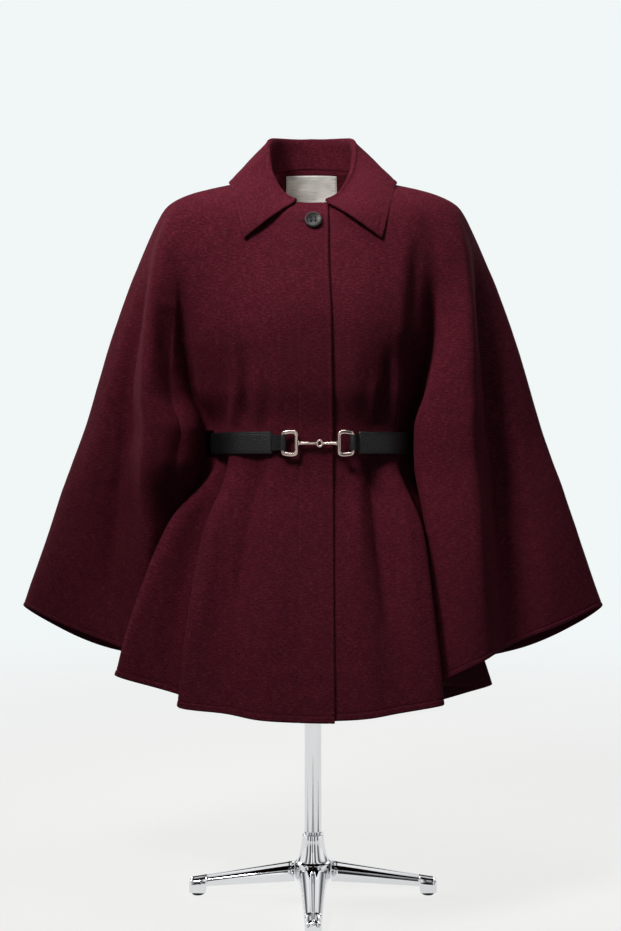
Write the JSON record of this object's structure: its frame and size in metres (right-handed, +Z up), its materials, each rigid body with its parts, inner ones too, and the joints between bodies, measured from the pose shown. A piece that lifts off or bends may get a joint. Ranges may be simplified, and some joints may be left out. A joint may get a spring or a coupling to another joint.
{
  "type": "belted wool cape-poncho on a limbless dress form and chrome stand",
  "caption": "Wool cape-poncho with shirt collar, lapped front, open wings and a belt closed by a ring-and-link clasp, worn by a limbless form on a pole stand.",
  "frame": {"origin": "middle of the floor print, under the pole, at the undersides of the foot glides", "axes": "+Z up, front of the garment toward -Y, wearer's right toward -X"},
  "size_m": [0.8247, 0.4348, 1.0877],
  "materials": {
    "front_right": "heathered wine wool, brushed",
    "front_left": "heathered wine wool, brushed",
    "back": "heathered wine wool, brushed",
    "collar_stand": "heathered wine wool, brushed",
    "collar_fall": "heathered wine wool, brushed",
    "neck_label": "silver-grey satin",
    "button": "dark horn-like button",
    "belt_strap": "black pebbled leather",
    "belt_loop_right": "black pebbled leather",
    "belt_loop_left": "black pebbled leather",
    "clasp_ring_right": "pale champagne plated metal",
    "clasp_ring_left": "pale champagne plated metal",
    "clasp_link": "pale champagne plated metal",
    "form_torso": "plain linen-covered form",
    "stand_pole": "polished chrome",
    "stand_hub": "polished chrome",
    "stand_leg_front": "polished chrome",
    "stand_leg_left": "polished chrome",
    "stand_leg_rear": "polished chrome",
    "stand_leg_right": "polished chrome",
    "stand_glide_front": "dark matt glide",
    "stand_glide_left": "dark matt glide",
    "stand_glide_rear": "dark matt glide",
    "stand_glide_right": "dark matt glide"
  },
  "bodies": {
    "root": {"front_right": "front_right", "front_left": "front_left", "back": "back", "collar_stand": "collar_stand", "collar_fall": "collar_fall", "neck_label": "neck_label", "button": "button", "belt_strap": "belt_strap", "belt_loop_right": "belt_loop_right", "belt_loop_left": "belt_loop_left", "clasp_ring_right": "clasp_ring_right", "clasp_ring_left": "clasp_ring_left", "clasp_link": "clasp_link", "form_torso": "form_torso", "stand_pole": "stand_pole", "stand_hub": "stand_hub", "stand_leg_front": "stand_leg_front", "stand_leg_left": "stand_leg_left", "stand_leg_rear": "stand_leg_rear", "stand_leg_right": "stand_leg_right", "stand_glide_front": "stand_glide_front", "stand_glide_left": "stand_glide_left", "stand_glide_rear": "stand_glide_rear", "stand_glide_right": "stand_glide_right"}
  },
  "joints": []
}
